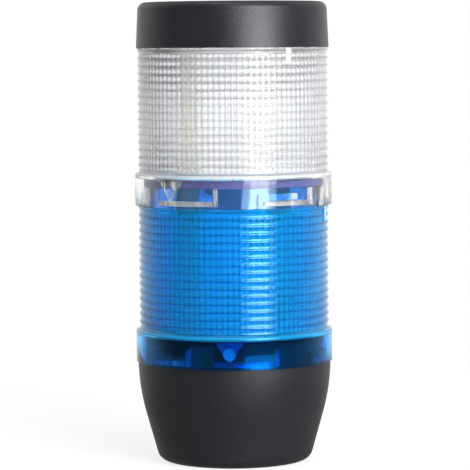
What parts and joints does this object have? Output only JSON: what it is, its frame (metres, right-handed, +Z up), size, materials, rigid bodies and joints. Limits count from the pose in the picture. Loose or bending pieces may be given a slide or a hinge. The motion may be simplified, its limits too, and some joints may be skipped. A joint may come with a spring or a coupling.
{
  "type": "stack light",
  "caption": "Round signal column: tapered black base, blue lens module, clear lens module and black cap, joined by bayonets.",
  "frame": {"origin": "centre of the foot, on the plane the light stands on", "axes": "+Z up along the column, -Y towards the front, +X to the right seen from the front"},
  "size_m": [0.07, 0.07, 0.163],
  "materials": {
    "base_plastic": "fine-textured matt black",
    "cap_plastic": "fine-textured matt black",
    "blue_polycarbonate": "clear gloss, tinted blue",
    "clear_polycarbonate": "clear gloss, untinted",
    "seal_rubber": "matt",
    "module_seal_rubber": "matt, dark violet blue",
    "carrier_plastic": "satin white",
    "puck_plastic": "translucent white",
    "board_laminate": "satin green laminate",
    "led_resin": "translucent pale yellow",
    "contact_brass": "bright",
    "insert_brass": "turned",
    "screw_steel": "zinc plated",
    "terminal_plastic": "matt green"
  },
  "bodies": {
    "base": {"base_housing": "base_plastic", "base_plate": "base_plastic", "foot_seal": "seal_rubber", "cable_grommet": "seal_rubber", "mounting_inserts": "insert_brass", "plate_screws": "screw_steel", "base_carrier": "base_plastic", "base_contact_rings": "contact_brass", "base_seal": "seal_rubber", "terminal_block": "terminal_plastic", "terminal_screws": "screw_steel"},
    "blue_module": {"blue_lens": "blue_polycarbonate", "blue_seal": "module_seal_rubber", "blue_carrier": "carrier_plastic", "blue_left_board": "board_laminate", "blue_right_board": "board_laminate", "blue_leds": "led_resin", "blue_contact_puck": "puck_plastic", "blue_contact_rings": "contact_brass", "blue_contact_pins": "contact_brass"},
    "clear_module": {"clear_lens": "clear_polycarbonate", "clear_seal": "module_seal_rubber", "clear_carrier": "carrier_plastic", "clear_left_board": "board_laminate", "clear_right_board": "board_laminate", "clear_leds": "led_resin", "clear_contact_puck": "puck_plastic", "clear_contact_rings": "contact_brass", "clear_contact_pins": "contact_brass"},
    "cap": {"cap": "cap_plastic"}
  },
  "joints": [
    {"name": "blue_module_twist", "type": "hinge", "parent": "base", "child": "blue_module", "pos_m": [0, 0, 0.0357], "axis": [0, 0, 1], "range_deg": [0, 24]},
    {"name": "clear_module_twist", "type": "hinge", "parent": "blue_module", "child": "clear_module", "pos_m": [0, 0, 0.0913], "axis": [0, 0, 1], "range_deg": [0, 24]},
    {"name": "cap_twist", "type": "hinge", "parent": "clear_module", "child": "cap", "pos_m": [0, 0, 0.1469], "axis": [0, 0, 1], "range_deg": [0, 24]}
  ]
}
